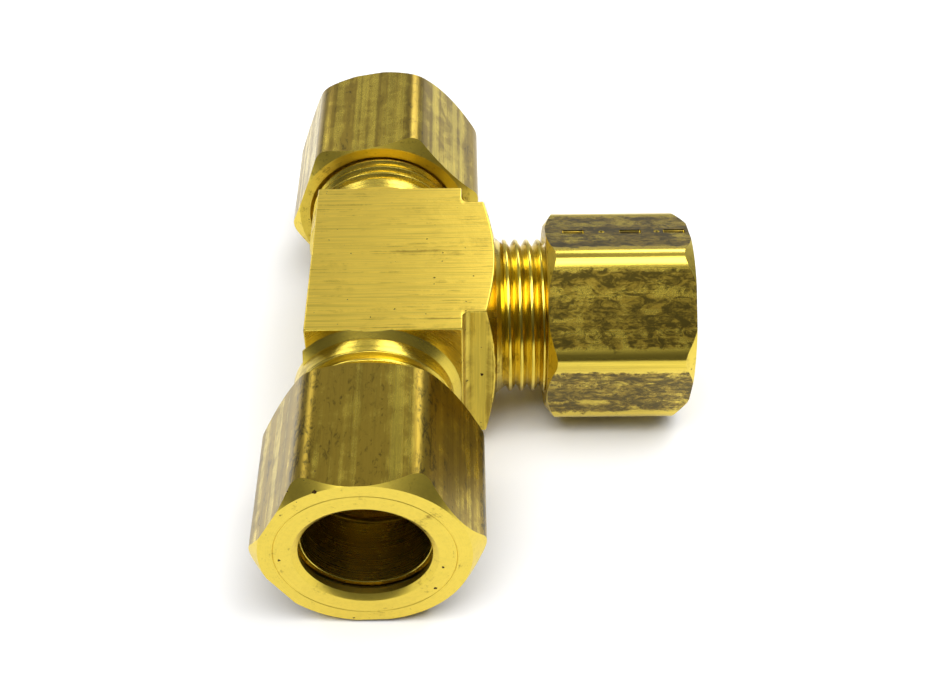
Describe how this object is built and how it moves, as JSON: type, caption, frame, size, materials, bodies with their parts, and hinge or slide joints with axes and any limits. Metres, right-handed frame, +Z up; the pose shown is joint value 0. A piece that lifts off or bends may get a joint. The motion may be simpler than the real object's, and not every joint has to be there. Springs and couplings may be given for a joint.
{
  "type": "compression union tee",
  "caption": "Brass compression union tee: sawn T-shaped body with a threaded arm at each outlet, and a hexagon nut over a loose ring sleeve on every arm.",
  "frame": {"origin": "the middle of the body's flat underside, straight below the point where the run and the branch cross; the tube axes lie 9.15 mm above it", "axes": "+X along the branch, away from the body; +Y along the run, towards the back outlet; +Z up, at right angles to the plane of the tee"},
  "size_m": [0.0461, 0.0684, 0.0227],
  "materials": {
    "body_brass": "sawn faces, turned collars and threads, bright yellow brass",
    "nut_brass": "drawn hexagon bar with lengthwise lines and brown tarnish, turned ends",
    "sleeve_brass": "turned and lightly polished"
  },
  "bodies": {
    "tee": {"tee_body": "body_brass"},
    "front_sleeve": {"run_front_sleeve": "sleeve_brass"},
    "front_nut": {"run_front_nut": "nut_brass"},
    "back_sleeve": {"run_back_sleeve": "sleeve_brass"},
    "back_nut": {"run_back_nut": "nut_brass"},
    "branch_sleeve": {"branch_sleeve": "sleeve_brass"},
    "branch_nut": {"branch_nut": "nut_brass"}
  },
  "joints": [
    {"name": "front_sleeve_slide", "type": "slide", "parent": "tee", "child": "front_sleeve", "axis": [0, -1, 0], "range_m": [-0.0031, 0.0033]},
    {"name": "front_nut_turn", "type": "hinge", "parent": "front_sleeve", "child": "front_nut", "pos_m": [0, -0.026, 0.00915], "axis": [0, -1, 0], "range_deg": [-850, 900]},
    {"name": "back_sleeve_slide", "type": "slide", "parent": "tee", "child": "back_sleeve", "axis": [0, 1, 0], "range_m": [-0.0031, 0.0033]},
    {"name": "back_nut_turn", "type": "hinge", "parent": "back_sleeve", "child": "back_nut", "pos_m": [0, 0.026, 0.00915], "axis": [0, 1, 0], "range_deg": [-850, 900]},
    {"name": "branch_sleeve_slide", "type": "slide", "parent": "tee", "child": "branch_sleeve", "axis": [1, 0, 0], "range_m": [-0.0031, 0.0033]},
    {"name": "branch_nut_turn", "type": "hinge", "parent": "branch_sleeve", "child": "branch_nut", "pos_m": [0.026, 0, 0.00915], "axis": [1, 0, 0], "range_deg": [-850, 900]}
  ],
  "couplings": [
    {"joint": "front_sleeve_slide", "follows": "front_nut_turn", "m_per_rad": 0.00020213},
    {"joint": "back_sleeve_slide", "follows": "back_nut_turn", "m_per_rad": 0.00020213},
    {"joint": "branch_sleeve_slide", "follows": "branch_nut_turn", "m_per_rad": 0.00020213}
  ]
}
